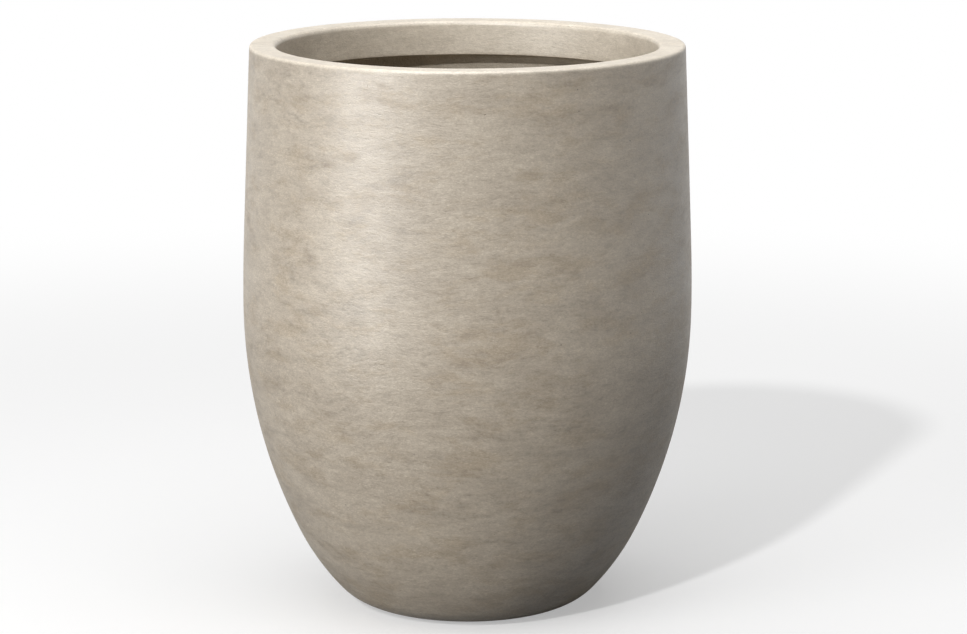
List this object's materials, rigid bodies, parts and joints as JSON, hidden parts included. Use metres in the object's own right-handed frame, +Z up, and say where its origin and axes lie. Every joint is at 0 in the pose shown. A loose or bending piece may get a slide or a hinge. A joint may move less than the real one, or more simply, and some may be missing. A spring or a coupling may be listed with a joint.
{
  "type": "tall concrete planter",
  "caption": "Tall round barrel planter in layered lightweight concrete, with a thick rim, a banded mouth, and a drain hole closed by a rubber plug.",
  "frame": {"origin": "centre of the flat base, on the surface that the planter stands on", "axes": "+Z up along the planter's axis, towards the mouth; the planter is round, so X and Y are free"},
  "size_m": [0.4365, 0.4364, 0.55],
  "materials": {
    "face_concrete": "smooth weathered concrete, brushed level, with soft mottling and a low satin sheen",
    "backing_concrete": "coarse fibre-filled concrete, trowelled by hand, matt",
    "glass_mesh": "open glass-fibre mesh, coated",
    "plug_rubber": "moulded black rubber, matt"
  },
  "bodies": {
    "planter": {"face_coat": "face_concrete", "base_mesh": "glass_mesh", "wall_mesh": "glass_mesh", "rim_mesh": "glass_mesh", "backing_coat": "backing_concrete"},
    "plug": {"drain_plug": "plug_rubber"}
  },
  "joints": [
    {"name": "plug_lift", "type": "slide", "parent": "planter", "child": "plug", "axis": [0, 0, 1], "range_m": [0, 0.58]}
  ]
}
